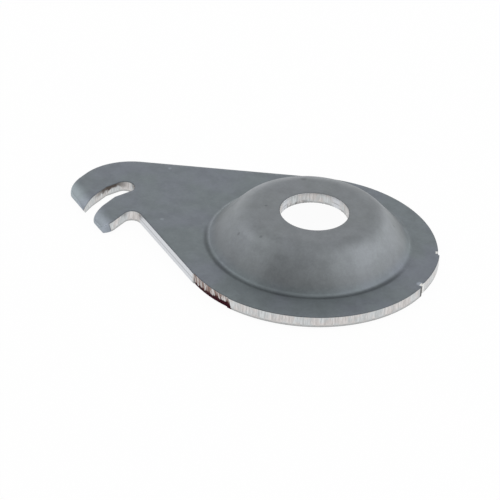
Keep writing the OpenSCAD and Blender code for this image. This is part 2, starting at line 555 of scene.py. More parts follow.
@dataclass(frozen=True)
class Ripple:
    """An uneven wave along a closed run, put together from plain ones.

    Attributes:
        length: Mean distance from crest to crest, in millimetres.
        seed: Picks one of such waves.
        height: How high its crests are.
        waves: How many plain waves it has.
        counts: Fewest and most crests of a plain wave, against the mean.
        heights: Smallest and greatest height of a plain wave, before they are added.
        sum_height: Usual height of their sum.
    """

    length: float
    seed: int
    height: float = 1.0
    waves: int = 7
    counts: tuple = (0.5, 1.6)
    heights: tuple = (0.4, 1.0)
    sum_height: float = 2.2

    def along(self, run: np.ndarray) -> np.ndarray:
        """Gives the wave at each point of a run.

        Args:
            run: Distance along the run, at even steps.

        Returns:
            The wave's height at each point.
        """
        rng = np.random.default_rng(self.seed)
        total = float(run[-1] + run[1])
        wave = np.zeros_like(run)
        for _ in range(self.waves):
            turns = max(1, round(total / self.length * rng.uniform(*self.counts)))
            height = rng.uniform(*self.heights)
            wave += height * np.sin(2 * math.pi * (turns * run / total + rng.random()))
        return self.height * wave / self.sum_height


@dataclass(frozen=True)
class ShearedWall:
    """What punch and die leave on a wall: a rolled edge, a bright band and a broken band.

    Attributes:
        roll: Radius to which the top edge is drawn over.
        roll_rows: Rings of points on the rolled edge.
        skin_rows: How many of them still have the sheet's skin above them.
        break_share: Share of the wall, from its foot, where the steel broke off.
        break_waves: How that share wanders, against its mean.
        break_limits: Its smallest and greatest values.
        slit_share: Factor on it where the wall was slit.
        bright_rows: Rings of the bright band, as shares of it.
        bright_step: How far the bright band stands in.
        bright_wave: How uneven it is.
        slit_wave: Factor on that where the wall was slit.
        broken_rows: Rings of the broken band, as shares of it, and how uneven each is.
        draft: How far the broken band leans in at its foot.
    """

    roll: float = 0.1
    roll_rows: int = 5
    skin_rows: int = 4
    break_share: float = 0.22
    break_waves: tuple = (Ripple(2.2, 3, 0.35), Ripple(0.5, 4, 0.15))
    break_limits: tuple = (0.05, 0.5)
    slit_share: float = 0.6
    bright_rows: tuple = (0.35, 0.7, 1.0)
    bright_step: float = 0.004
    bright_wave: Ripple = Ripple(0.45, 5, 0.004)
    slit_wave: float = 0.2
    broken_rows: tuple = (
        (0.3, Ripple(0.4, 9, 0.012)),
        (0.65, Ripple(0.4, 12, 0.012)),
        (1.0, Ripple(0.4, 15, 0.012)),
    )
    draft: float = 0.015

    def rows(
        self, run: np.ndarray, thick: float, roll: Row = None, slit: Row = 0.0, lean: Row = 0.0
    ) -> list:
        """Gives the wall's rings of points, from its top edge down.

        Args:
            run: Distance along the wall.
            thick: The sheet's thickness.
            roll: Radius of the rolled edge at each point, where it isn't the same all along.
            slit: 1 where the wall was slit, and 0 elsewhere.
            lean: How much more the broken band leans in.

        Returns:
            For each ring, how far in it lies and how deep, at each point.
        """
        roll = self.roll if roll is None else roll
        rows = []
        for turn in np.linspace(0, math.pi / 2, self.roll_rows + 1)[1:]:
            rows.append((roll * (1 - math.sin(turn)), roll * (1 - math.cos(turn))))
        share = self.break_share * (1 + sum(wave.along(run) for wave in self.break_waves))
        share = share * (1 - (1 - self.slit_share) * slit)
        broken = np.clip(share, *self.break_limits) * thick
        last = thick - broken
        step = self.bright_step + self.bright_wave.along(run) * (1 - (1 - self.slit_wave) * slit)
        for part in self.bright_rows:
            rows.append((step, roll + part * (last - roll)))
        for part, wave in self.broken_rows:
            rows.append(((self.draft + lean) * part + wave.along(run), last + part * broken))
        return rows


@dataclass
class MeshDraft:
    """A mesh while it is put together, with what its materials read from it.

    Attributes:
        points: Its points, in millimetres.
        faces: The numbers of each face's points.
        finishes: The finish of each face.
        marks: What the materials read at each point. Depth is the depth below the top edge on a
        sheared wall, and less than 0 elsewhere. Run is the distance along the wall. The
        others go from 0 to 1: rust grows along the rusty stretch, slit is a smooth wall,
        torn is freshly torn metal, smear is painted shade on the upper part of the slot's far
        wall, teeth are a serrated lower edge, seam is painted shadow in the narrow recess
        beside a nick, and drawn is skin drawn over a whole wall.
    """

    points: list = field(default_factory=list)
    faces: list = field(default_factory=list)
    finishes: list = field(default_factory=list)
    marks: dict = field(default_factory=lambda: {name: [] for name in (*WALL_MARKS, "drawn")})

    def add_points(self, xyz: np.ndarray, **marks: Row) -> np.ndarray:
        """Adds points and what the materials read at them.

        Args:
            xyz: The points, in millimetres.
            marks: The marks that are not as on the sheet's faces.

        Returns:
            The numbers of the new points.
        """
        first = len(self.points)
        self.points.extend(xyz)
        for name, store in self.marks.items():
            value = marks.get(name, OFF_WALL if name == "depth" else 0.0)
            store.extend(np.broadcast_to(value, len(xyz)))
        return np.arange(first, first + len(xyz))

    def add_faces(self, faces: np.ndarray, finish: Row) -> None:
        """Adds faces with one finish, or with one for each."""
        self.faces.extend(tuple(int(i) for i in f) for f in faces)
        self.finishes.extend(int(f) for f in np.broadcast_to(finish, len(faces)))

    def add_strip(self, upper: np.ndarray, lower: np.ndarray, finish: Row) -> None:
        """Joins two closed rings of points by a strip of quads that faces outwards."""
        a, b = np.roll(upper, -1), np.roll(lower, -1)
        self.add_faces(np.stack([upper, lower, b, a], axis=1), finish)

    def to_object(self, name: str, materials: list) -> bpy.types.Object:
        """Makes the object.

        Args:
            name: Its name.
            materials: A material for each finish.

        Returns:
            The new object, in metres, in the scene.
        """
        mesh = bpy.data.meshes.new(name)
        mesh.from_pydata((np.array(self.points) * MM).tolist(), [], self.faces)
        for material in materials:
            mesh.materials.append(material)
        mesh.polygons.foreach_set("material_index", self.finishes)
        mesh.polygons.foreach_set("use_smooth", [True] * len(self.faces))
        for mark, values in self.marks.items():
            layer = mesh.attributes.new(mark, "FLOAT", "POINT")
            layer.data.foreach_set("value", np.array(values, dtype=np.float32))
        mesh.set_sharp_from_angle(angle=math.radians(SHARP_FROM))
        mesh.validate()
        obj = bpy.data.objects.new(name, mesh)
        bpy.context.scene.collection.objects.link(obj)
        return obj


class Finish(IntEnum):
    """The finishes of the washer, in the order of its material slots."""

    SKIN = 0
    SHEARED_EDGE = 1


@dataclass
class Washer:
    """The washer: its sizes, what the press left on it, and how finely it is meshed.

    Attributes:
        sizes: The driving sizes.
        wall: The wall round the flange, the tail and the hook.
        bore_wall: The bore's wall.
        nick_roll: Radius to which a nick's top edge is drawn over.
        skinned_roll: The same, where the skin was drawn over the whole wall.
        roll_blend: Over how many points on each side one radius turns into another.
        skinned_blend: The same, for the wide one.
        skinned_clear: How many points from a stretch's corners the wide one starts.
        rust_draft: How much more the broken band leans in on the rusty stretch.
        rust_lean: How far the rust's streaks lean along the wall, for a step down it.
        rust_least: The rust's mark where its stretch starts.
        smear_shift: How far the middle of the painted shade on the slot's far wall lies from the
        middle of its side of the slot.
        smear_reach: How far that painted shade spreads from its middle.
        torn_fade: Length over which the torn look fades past the first nick.
        torn_blend: Over how many points the torn look fades on each side of a nick.
        slit_blend: The same, for the slit look.
        seam_points: How many points before the first nick the painted shadow in the narrow recess
        beside it takes up.
        inset: How far inside its nominal outline the washer stays.
        rim_mark: The depth marked at the faces' rims, so that the painted shade on a rolled edge
        comes on softly.
        bore_rim_mark: The same, at the bore, where that painted shade is darker.
        teeth_at: Direction in which the bore's lower edge is serrated, and its reach, in degrees.
        burnished_at: Directions in which the bore's wall is burnished, and their reaches.
        turns: Points round the dome.
        hollow_rows: Rings of points on the hollow at the dome's foot.
        side_rows: Rings on the dome's straight side.
        shoulder_rows: Rings on its shoulder.
        crown_rows: Rings on its flat crown.
        grid: Distance between points of the flat faces.
        grid_clear: Share of that distance that stays clear along their borders.
    """

    sizes: WasherSizes = field(default_factory=WasherSizes)
    wall: ShearedWall = ShearedWall()
    bore_wall: ShearedWall = ShearedWall(
        roll_rows=4,
        skin_rows=2,
        break_share=0.3,
        break_waves=(Ripple(1.4, 21, 0.5), Ripple(0.4, 22, 0.3)),
        break_limits=(0.1, 0.6),
        bright_rows=(0.3, 0.65, 1.0),
        bright_step=0.0,
        bright_wave=Ripple(0.35, 23, 0.006),
        broken_rows=(
            (0.35, Ripple(0.5, 27, 0.007)),
            (0.7, Ripple(0.5, 30, 0.014)),
            (1.0, Ripple(0.5, 33, 0.02)),
        ),
        draft=0.05,
    )
    nick_roll: float = 0.03
    skinned_roll: float = 0.3
    roll_blend: int = 3
    skinned_blend: int = 6
    skinned_clear: int = 10
    rust_draft: float = 0.03
    rust_lean: float = 0.45
    rust_least: float = 0.02
    smear_shift: float = -0.7
    smear_reach: float = 3.6
    torn_fade: float = 0.7
    torn_blend: int = 2
    slit_blend: int = 1
    seam_points: int = 3
    inset: float = 0.006
    rim_mark: float = -0.45
    bore_rim_mark: float = -0.3
    teeth_at: tuple = (158.0, 34.0)
    burnished_at: tuple = ((182.0, 14.0), (82.0, 12.0))
    turns: int = 432
    hollow_rows: int = 14
    side_rows: int = 8
    shoulder_rows: int = 19
    crown_rows: int = 8
    grid: float = 0.45
    grid_clear: float = 0.6

    def _top(self, plan: np.ndarray) -> np.ndarray:
        """Places points on the sheet's top face, with the prongs' ends drooped.

        Args:
            plan: The points in the plan.

        Returns:
            The points in space.
        """
        s = self.sizes
        past = plan @ heading(s.near_normal) - s.droop_at
        return np.column_stack([plan, s.flange_top + s.droop(past, s.droop_top_r)])

    def _under(self, plan: np.ndarray) -> np.ndarray:
        """Places points on the sheet's underside, with the prongs' ends drooped.

        Args:
            plan: The points in the plan.

        Returns:
            The points in space.
        """
        s = self.sizes
        past = plan @ heading(s.near_normal) - s.droop_at
        return np.column_stack([plan, s.flange_top - s.sheet_t + s.droop(past, s.droop_under_r)])

    def _flat_faces(self, border: np.ndarray, foot: np.ndarray) -> tuple:
        """Triangulates the flat sheet between its border and the dome's foot.

        Args:
            border: The border's plan points.
            foot: The foot's plan points.

        Returns:
            All plan points, the border's and the foot's first, and the triangles.
        """
        lo, hi = border.min(axis=0), border.max(axis=0)
        xs = np.arange(lo[0], hi[0], self.grid)
        ys = np.arange(lo[1], hi[1], self.grid * math.sqrt(3) / 2)
        gx, gy = np.meshgrid(xs, ys)
        gx = gx + (np.arange(len(ys)) % 2)[:, None] * self.grid / 2
        inner = np.column_stack([gx.ravel(), gy.ravel()])
        clear = self.grid_clear * self.grid
        keep = self._inside(inner, border)
        keep &= self._from_dome(inner) > self.sizes.foot_d / 2 + clear
        gaps = np.array([np.min(np.hypot(*(border - p).T)) for p in inner[keep]])
        inner = inner[keep][gaps > clear]
        plan = np.vstack([border, foot, inner])
        nb, nf = len(border), len(foot)
        loops = [(i, (i + 1) % nb) for i in range(nb)]
        loops += [(nb + i, nb + (i + 1) % nf) for i in range(nf)]
        made = delaunay_2d_cdt([Vector(p) for p in plan], loops, [], 0, SAME_POINT)
        if len(made[0]) != len(plan):
            raise RuntimeError("the flat sheet's border crosses itself")
        order = {made_at: old[0] for made_at, old in enumerate(made[3])}
        tris = np.array([[order[i] for i in t] for t in made[2]])
        mid = plan[tris].mean(axis=1)
        # The flats between the foot's points lie a little inside its circle
        flats = self.sizes.foot_d / 2 * math.cos(math.pi / self.turns)
        keep = self._inside(mid, border) & (self._from_dome(mid) > flats)
        return plan, tris[keep]

    def _from_dome(self, plan: np.ndarray) -> np.ndarray:
        """Distance of plan points from the dome's axis."""
        return np.linalg.norm(plan - self.sizes.dome_centre, axis=1)

    @staticmethod
    def _inside(points: np.ndarray, border: np.ndarray) -> np.ndarray:
        """Says which points lie inside a closed border.

        Args:
            points: The points.
            border: The border's points.

        Returns:
            For each point, whether it lies inside.
        """
        inside = np.zeros(len(points), dtype=bool)
        for a, b in zip(border, np.roll(border, -1, axis=0)):
            spans = (a[1] > points[:, 1]) != (b[1] > points[:, 1])
            if spans.any():
                cut = a[0] + (points[:, 1] - a[1]) * (b[0] - a[0]) / (b[1] - a[1])
                inside ^= spans & (points[:, 0] < cut)
        return inside

    def _rolls(self, edges: np.ndarray) -> np.ndarray:
        """Gives the radius of the rolled edge.

        Args:
            edges: How the wall was made at each point.

        Returns:
            The radius at each point.
        """
        in_nick = edges == Edge.NICK
        roll = smoothed(np.where(in_nick, self.nick_roll, self.wall.roll), self.roll_blend)
        # The wide roll needs room, so it grows only away from the corners of its stretch
        skinned = smoothed((edges == Edge.SKINNED).astype(float), self.skinned_clear)
        wider = np.where(np.isclose(skinned, 1), self.skinned_roll - self.wall.roll, 0)
        return np.where(in_nick, self.nick_roll, roll + smoothed(wider, self.skinned_blend))

    def _marks(self, edges: np.ndarray, run: np.ndarray) -> dict:
        """Gives what the materials read all the way down the wall.

        Args:
            edges: How the wall was made at each point.
            run: Distance along the wall.

        Returns:
            The marks at each point, by name.
        """
        in_nick = edges == Edge.NICK
        before_nick = int(np.flatnonzero(in_nick)[0]) - np.arange(len(run))
        past_step = run - run[np.flatnonzero(edges == Edge.CUTOFF)[0]]
        faded = np.where(past_step >= 0, np.clip(1 - past_step / self.torn_fade, 0, 1), 0)
        # Middle of the painted shade on the slot's far wall
        smear_at = run[edges == Edge.SMEARED].mean() + self.smear_shift
        return {
            "run": run,
            "slit": smoothed((edges == Edge.SLIT).astype(float), self.slit_blend),
            "torn": np.maximum(smoothed(in_nick.astype(float), self.torn_blend), faded),
            "smear": fading(run - smear_at, self.smear_reach),
            # Painted shadow in the narrow recess just before the first nick
            "seam": ((before_nick >= 0) & (before_nick <= self.seam_points)).astype(float),
            "drawn": (edges == Edge.SKINNED).astype(float),
        }

    def _rust(self, edges: np.ndarray, run: np.ndarray, depth: np.ndarray) -> np.ndarray:
        """Says how far along the rusty stretch each point of a ring lies.

        Args:
            edges: How the wall was made at each point.
            run: Distance along the wall.
            depth: Depth of each point.

        Returns:
            The share of the stretch, and 0 off it.
        """
        length = run[np.flatnonzero(edges == Edge.RUSTED)[-1] + 1]
        along = (run - self.rust_lean * depth) / length
        return np.where((along > 0) & (along < 1), np.clip(along, self.rust_least, 1), 0)

    def _sheet(self, draft: MeshDraft) -> tuple:
        """Adds the flat sheet with its walls.

        Args:
            draft: The mesh.

        Returns:
            The numbers of the points round the dome's foot, on top and below.
        """
        s = self.sizes
        top, under, edges, inward, run = Outline(s).build().arrays()
        roll = self._rolls(edges)
        angles = np.arange(self.turns) * 360 / self.turns
        foot = s.dome_centre + np.array([s.foot_d / 2 * heading(a) for a in angles])
        faces = []
        for edge, place, turned in ((top, self._top, 1), (under, self._under, -1)):
            plan, tris = self._flat_faces(edge + inward * roll[:, None], foot)
            numbers = draft.add_points(place(plan))
            draft.add_faces(numbers[tris][:, ::turned], Finish.SKIN)
            faces.append(numbers)
            # The rims take a depth mark, from which the sheet's colour gets painted shade on the
            # rolled edges
            for number in numbers[:len(edge)]:
                draft.marks["depth"][number] = self.rim_mark

        marks = self._marks(edges, run)
        skinned = edges == Edge.SKINNED
        finish = np.where(skinned, Finish.SKIN, Finish.SHEARED_EDGE)
        slit = (edges == Edge.SLIT).astype(float)
        lean = self.rust_draft * (edges == Edge.RUSTED)
        upper = faces[0][:len(top)]
        for number, (step, depth) in enumerate(self.wall.rows(run, s.sheet_t, roll, slit, lean)):
            inset = inward * np.maximum(step, self.inset)[:, None]
            share = (depth / s.sheet_t)[:, None]
            ring = draft.add_points(
                self._top(top + inset) * (1 - share) + self._under(under + inset) * share,
                depth=np.where(skinned, OFF_WALL, depth),
                rust=self._rust(edges, run, depth),
                **marks,
            )
            draft.add_strip(upper, ring, Finish.SKIN if number < self.wall.skin_rows else finish)
            upper = ring
        draft.add_strip(upper, faces[1][:len(top)], Finish.SKIN)
        foot_at = slice(len(top), len(top) + self.turns)
        return faces[0][foot_at], faces[1][foot_at]

    def _section(self) -> tuple:
        """Gives the dome's section as two runs of points, from the foot to the flat crown.

        Returns:
            The outer run and the inner run, as radius and height.
        """
        s = self.sizes
        slope = math.radians(s.wall_slope)
        bend = s.shoulder_r + s.hollow_r
        drop = s.dome_rise - bend * (1 - math.cos(slope))
        crown_r = s.foot_d / 2 - bend * math.sin(slope) - drop / math.tan(slope)
        shoulder = np.array([crown_r, -s.shoulder_r])
        hollow = np.array([s.foot_d / 2, s.flange_top + s.hollow_r])
        lean = 90 - s.wall_slope

        def swept(centre: np.ndarray, r: float, start: float, end: float, count: int) -> np.ndarray:
            """Points along an arc of the section."""
            return np.array([centre + r * heading(a) for a in np.linspace(start, end, count)])

        runs = []
        for hollow_r, shoulder_r in (
            (s.hollow_r, s.shoulder_r),
            (s.hollow_r + s.sheet_t, s.shoulder_r - s.sheet_t),
        ):
            low = swept(hollow, hollow_r, 270, 180 + lean, self.hollow_rows + 1)
            high = swept(shoulder, shoulder_r, lean, 90, self.shoulder_rows)
            side = np.linspace(low[-1], high[0], self.side_rows + 2)[1:-1]
            runs.append(np.vstack([low[1:], side, high]))
        return runs[0], runs[1]

    def _ring(
        self, draft: MeshDraft, centre: np.ndarray, radius: Row, height: Row, **marks: Row
    ) -> np.ndarray:
        """Adds a ring of points.

        Args:
            draft: The mesh.
            centre: The ring's centre in the plan.
            radius: Its radius, or one for each point.
            height: Its height, or one for each point.
            marks: What the materials read at it.

        Returns:
            The numbers of its points.
        """
        ways = np.array([heading(a) for a in np.arange(self.turns) * 360 / self.turns])
        plan = centre + ways * np.broadcast_to(radius, self.turns)[:, None]
        heights = np.broadcast_to(height, self.turns)
        return draft.add_points(np.column_stack([plan, heights]), **marks)

    def _dome(self, draft: MeshDraft, foot: np.ndarray, foot_under: np.ndarray) -> None:
        """Adds the dome and its bore.

        Args:
            draft: The mesh.
            foot: The points round the dome's foot on top, on which it stands.
            foot_under: The same below.
        """
        s = self.sizes
        rims = []
        for run, start, turned in zip(self._section(), (foot, foot_under), (1, -1)):
            last = start
            for radius, height in run:
                ring = self._ring(draft, s.dome_centre, radius, height)
                draft.add_strip(*(ring, last)[::turned], Finish.SKIN)
                last = ring
            # The dome was struck off the bore axis, so the flat crown's rings move over to it
            crown_r, height = run[-1]
            rim_r = s.bore_d / 2 + self.bore_wall.roll
            for share in np.linspace(0, 1, self.crown_rows + 1)[1:]:
                radius = crown_r + share * (rim_r - crown_r)
                # The bore's rim takes the mark for a darker painted shade on its rolled edge
                mark = self.bore_rim_mark if share == 1 else OFF_WALL
                ring = self._ring(draft, s.dome_centre * (1 - share), radius, height, depth=mark)
                draft.add_strip(*(ring, last)[::turned], Finish.SKIN)
                last = ring
            rims.append(last)
        self._bore(draft, *rims)

    def _bore(self, draft: MeshDraft, rim: np.ndarray, rim_under: np.ndarray) -> None:
        """Adds the bore's wall.

        Args:
            draft: The mesh.
            rim: The points round the bore on the crown's top.
            rim_under: The same on the crown's underside.
        """
        s, wall = self.sizes, self.bore_wall
        r = s.bore_d / 2
        angles = np.arange(self.turns) * 360 / self.turns
        run = np.arange(self.turns) * 2 * math.pi * r / self.turns
        teeth_at, teeth_reach = self.teeth_at
        marks = {
            "run": run,
            "teeth": fading(angles - teeth_at, teeth_reach),
            "slit": np.max([fading(angles - at, reach) for at, reach in self.burnished_at], axis=0),
        }
        upper = rim
        for number, (step, depth) in enumerate(wall.rows(run, s.sheet_t)):
            finish = Finish.SKIN if number < wall.skin_rows else Finish.SHEARED_EDGE
            lower = self._ring(draft, np.zeros(2), r + step, -depth, depth=depth, **marks)
            draft.add_strip(lower, upper, finish)
            upper = lower
        draft.add_strip(rim_under, upper, Finish.SKIN)

    def build(self, materials: list) -> bpy.types.Object:
        """Builds the washer and dresses it.

        Args:
            materials: A material for each finish.

        Returns:
            The washer's object.
        """
        draft = MeshDraft()
        foot, foot_under = self._sheet(draft)
        self._dome(draft, foot, foot_under)
        return draft.to_object("steel_washer", materials)


def hex_colour(code: str) -> tuple:
    """Turns an sRGB hex code into a linear colour.

    Args:
        code: Two hex digits each for red, green and blue.

    Returns:
        The three linear channels and full alpha.
    """
    channels = []
    for k in (0, 2, 4):
        c = int(code[k:k + 2], 16) / 255
        channels.append(c / 12.92 if c <= 0.04045 else ((c + 0.055) / 1.055) ** 2.4)
    return (*channels, 1.0)


def add_node(tree: Tree, kind: str, inputs: Optional[dict] = None, **settings: Any) -> Node:
    """Adds a node with its settings, values and links.

    Args:
        tree: The node tree.
        kind: The node's type, such as ShaderNodeMath.
        inputs: What goes into each input, by name or number: a value, an output socket, or a
            node, whose first output in use is taken.
        settings: The node's own settings, by name.

    Returns:
        The new node.
    """
    node = tree.nodes.new(kind)
    for name, value in settings.items():
        setattr(node, name, value)
    for key, value in (inputs or {}).items():
        if isinstance(value, Node):
            value = next(socket for socket in value.outputs if socket.enabled)
        if isinstance(value, Socket):
            tree.links.new(value, node.inputs[key])
        else:
            node.inputs[key].default_value = value
    return node


def chain(tree: Tree, kind: str, values: list, **settings: Any) -> Node:
    """Joins values from left to right by nodes of one kind, with two inputs each.

    Args:
        tree: The node tree.
        kind: The nodes' type.
        values: What is joined.
        settings: The nodes' own settings, by name.

    Returns:
        The last node.
    """
    joined = values[0]
    for value in values[1:]:
        joined = add_node(tree, kind, {0: joined, 1: value}, **settings)
    return joined


def new_material(name: str) -> tuple:
    """Starts a material with a plain shader.

    Args:
        name: Its name.

    Returns:
        The material, its node tree, its shader and its output.
    """
    material = bpy.data.materials.new(name)
    material.use_nodes = True
    tree = material.node_tree
    tree.nodes.clear()
    shader = add_node(tree, "ShaderNodeBsdfPrincipled")
    out = add_node(tree, "ShaderNodeOutputMaterial", {"Surface": shader})
    return material, tree, shader, out


@dataclass(frozen=True)
class Span:
    """A soft change from one result to another, over a range of some value.

    Attributes:
        low: The value up to which the result is start.
        high: The value from which the result is end.
        start: The first result.
        end: The last result.
    """

    low: float
    high: float
    start: float = 0.0
    end: float = 1.0

    def inputs(self, value: Feed, unit: float = 1.0) -> dict:
        """Gives the inputs of a Map Range node that makes the change.

        Args:
            value: The value.
            unit: What low and high are counted in.

        Returns:
            The inputs, by name.
        """
        return {
            "Value": value, "From Min": self.low * unit, "From Max": self.high * unit,
            "To Min": self.start, "To Max": self.end,
        }


@dataclass(frozen=True)
class Pattern:
    """An uneven pattern that goes from 0 to 1.

    Attributes:
        size_mm: Size of its patches.
        detail: How many finer layers it has.
        roughness: How strong they are.
    """

    size_mm: float
    detail: float
    roughness: float

    def inputs(self, place: Feed, scale: float) -> dict:
        """Gives the inputs of a noise node that makes the pattern at a scale."""
        return {"Vector": place, "Scale": scale, "Detail": self.detail, "Roughness": self.roughness}


def peak(tree: Tree, value: Feed, middle: float, reach: float) -> Node:
    """Makes a factor that is 1 where a value is at the middle, and falls off to both sides.

    Args:
        tree: The node tree.
        value: The value.
        middle: Where the factor is 1.
        reach: How far from there it has fallen to 0.

    Returns:
        The factor's node.
    """
    off = add_node(tree, "ShaderNodeMath", {0: value, 1: middle}, operation="SUBTRACT")
    size = add_node(tree, "ShaderNodeMath", {0: off}, operation="ABSOLUTE")
    return add_node(tree, "ShaderNodeMapRange", Span(0.0, reach, 1.0, 0.0).inputs(size), **SOFTLY)


@dataclass(frozen=True)
class Blot:
    """A small mark on the sheet's top.

    Attributes:
        x: Its place in the plan, in millimetres.
        y: The same.
        r: Its radius, in millimetres.
        light: Factor on the sheet's colour there.
        core: Share of the radius over which the mark is even.
    """

    x: float
    y: float
    r: float
    light: float
    core: float = 0.3


@dataclass(frozen=True)
class Residue:
    """A dark line of painted shade in the hollow round the dome.

    Attributes:
        r: The line's radius about the dome's axis, in millimetres.
        reach: How far it spreads to both sides, in millimetres.
        towards: Direction in which the painted shade is strongest, in degrees.
        ran: How strong the line is, over the distance in that direction, in millimetres.
        uneven: How strong it is over the sheet's mottle.
        above: Where it starts, over the height above the flange's top, in millimetres.
        light: Factor on the sheet's colour, over the line's strength.
    """

    r: float = 13.6
    reach: float = 0.62
    towards: float = 285.0
    ran: Span = Span(0.0, 6.0, 0.15, 1.0)
    uneven: Span = Span(0.35, 0.6, 0.75, 1.0)
    above: Span = Span(-0.5, -0.1)
    light: Span = Span(0.0, 1.0, 1.0, 0.54)

    def build(self, tree: Tree, flat: Feed, height: Feed, mottle: Feed) -> Node:
        """Makes the line's factor on the colour.

        Args:
            tree: The node tree.
            flat: The place in the plan.
            height: The height above the crown.
            mottle: The sheet's mottle.

        Returns:
            The factor's node.
        """
        sizes = WasherSizes()
        axis = (*(sizes.dome_centre * MM), 0.0)
        arm = add_node(tree, "ShaderNodeVectorMath", {0: flat, 1: axis}, operation="SUBTRACT")
        radius = add_node(tree, "ShaderNodeVectorMath", {0: arm}, operation="LENGTH")
        way = (*heading(self.towards), 0.0)
        ahead = add_node(tree, "ShaderNodeVectorMath", {0: arm, 1: way}, operation="DOT_PRODUCT")
        above = add_node(
            tree, "ShaderNodeMath", {0: height, 1: sizes.flange_top * MM}, operation="SUBTRACT"
        )
        factors = [peak(tree, radius, self.r * MM, self.reach * MM)]
        for span, value, unit in (
            (self.ran, ahead, MM), (self.uneven, mottle, 1.0), (self.above, above, MM)
        ):
            factors.append(add_node(tree, "ShaderNodeMapRange", span.inputs(value, unit), **SOFTLY))
        line = chain(tree, "ShaderNodeMath", factors, operation="MULTIPLY")
        return add_node(tree, "ShaderNodeMapRange", self.light.inputs(line), **SOFTLY)


@dataclass(frozen=True)
class TumbledSheet:
    """Low-carbon steel sheet, pressed, then pickled and tumbled.

    Pickling leaves a matt mid-grey with a cool cast. The eye sees soft, wide highlights, a faint
    mottle of greener and bluer grey, a fine grain and a few blots. Into the colour are painted a
    highlight on the dome's side and shoulder, on the drooped tips and on the skin drawn over a
    wall, and shade on the crown, on the rolled-over edges, on the dome's front lower wall and in
    the hollow round the dome's foot.
    Heights are in millimetres above the crown. Each light is a factor on the colour.

    Attributes:
        greener: The mottle's one colour.
        bluer: Its other colour.
        neutral: The dome's colour, where the sheet was stretched.
        mottle: The mottle's patches.
        smudges: Lighter and darker smudges.
        grain: The grain. The real one is about 0.05 mm, and this is coarser so that it shows.
        tints: How the mottle goes from one colour to the other.
        stretched: How far the colour is the neutral one, over the height.
        shoulder_light: Painted highlight on the dome, rising from its side to the shoulder, over
        the height.
        crown_light: Painted shade on the crown, which takes back part of that highlight, over the
        height.
        tips_light: Painted highlight on the drooped tips, over the distance past the droop's
        start, in millimetres.
        drawn_light: Painted highlight on the skin that was drawn over a wall.
        grain_light: The grain.
        smudge_light: The smudges.
        edge_light: Painted shade on the rolled-over edges, over the depth mark.
        rough: Roughness, over the grain.
        bump: Strength of the grain's relief.
        bump_mm: Its height.
        residue: Painted shade in the hollow round the dome's foot.
        blots: The small marks, with torn metal by the first nick as the third from last, and as
        the last two, painted shade on the dome's front lower wall.
    """

    greener: str = "6E7578"
    bluer: str = "70757C"
    neutral: str = "717476"
    mottle: Pattern = Pattern(8.0, 3.0, 0.6)
    smudges: Pattern = Pattern(2.2, 4.0, 0.68)
    grain: Pattern = Pattern(0.35, 4.0, 0.7)
    tints: Span = Span(0.35, 0.65)
    stretched: Span = Span(-4.6, -3.4, 0.0, 0.75)
    # Painted highlight on the dome's side and shoulder, and painted shade on the crown
    shoulder_light: Span = Span(-4.2, -1.7, 1.0, 1.28)
    crown_light: Span = Span(-1.5, -0.3, 1.0, 0.88)
    # Painted highlight on the drooped tips
    tips_light: Span = Span(0.2, 2.1, 1.0, 1.62)
    # Painted highlight on the skin drawn over a wall
    drawn_light: Span = Span(0.0, 1.0, 1.0, 1.45)
    grain_light: Span = Span(0.3, 0.7, 0.94, 1.06)
    smudge_light: Span = Span(0.35, 0.65, 0.94, 1.06)
    # Painted shade on the rolled-over edges
    edge_light: Span = Span(-0.6, 0.0, 1.0, 0.7)
    rough: Span = Span(0.0, 1.0, 0.44, 0.56)
    bump: float = 0.12
    bump_mm: float = 0.02
    # Painted shade in the hollow round the dome's foot
    residue: Residue = Residue()
    blots: tuple = (
        Blot(-25.18, 3.39, 0.35, 1.35),
        Blot(-18.72, -7.66, 0.4, 1.3),
        Blot(-5.56, 5.93, 0.6, 0.72),
        Blot(-5.78, -2.75, 0.3, 0.7),
        Blot(-2.5, -8.87, 0.3, 0.75),
        Blot(-5.99, -8.75, 0.25, 0.75),
        Blot(8.48, 6.29, 0.3, 0.75),
        Blot(16.45, 0.15, 0.6, 1.9),
        # The last two are painted shade on the dome's front lower wall
        Blot(2.5, -11.0, 4.2, 0.92),
        Blot(1.4, -10.8, 1.7, 0.93),
    )

    def _blots(self, tree: Tree, flat: Feed) -> list:
        """Makes the blots' factors on the colour.

        Args:
            tree: The node tree.
            flat: The place in the plan.

        Returns:
            The node of each blot's factor.
        """
        factors = []
        for blot in self.blots:
            middle = (blot.x * MM, blot.y * MM, 0.0)
            off = add_node(tree, "ShaderNodeVectorMath", {0: flat, 1: middle}, operation="DISTANCE")
            span = Span(blot.core * blot.r, blot.r, blot.light, 1.0)
            factors.append(add_node(tree, "ShaderNodeMapRange", span.inputs(off, MM), **SOFTLY))
        return factors

    def _colour(self, tree: Tree, place: Feed, grain: Feed) -> Node:
        """Makes the sheet's colour.

        Args:
            tree: The node tree.
            place: The place on the washer.
            grain: The grain.

        Returns:
            The colour's node.
        """
        mottle, smudges = (
            add_node(tree, "ShaderNodeTexNoise", pattern.inputs(place, 1 / (pattern.size_mm * MM)))
            for pattern in (self.mottle, self.smudges)
        )
        depth, drawn = (
            add_node(tree, "ShaderNodeAttribute", attribute_name=name).outputs["Fac"]
            for name in ("depth", "drawn")
        )
        height = add_node(tree, "ShaderNodeSeparateXYZ", {0: place}).outputs["Z"]
        flat = chain(tree, "ShaderNodeVectorMath", [place, (1.0, 1.0, 0.0)], operation="MULTIPLY")
        sizes = WasherSizes()
        ends = (*heading(sizes.near_normal), 0.0)
        along = add_node(tree, "ShaderNodeVectorMath", {0: place, 1: ends}, operation="DOT_PRODUCT")
        past = add_node(
            tree, "ShaderNodeMath", {0: along, 1: sizes.droop_at * MM}, operation="SUBTRACT"
        )

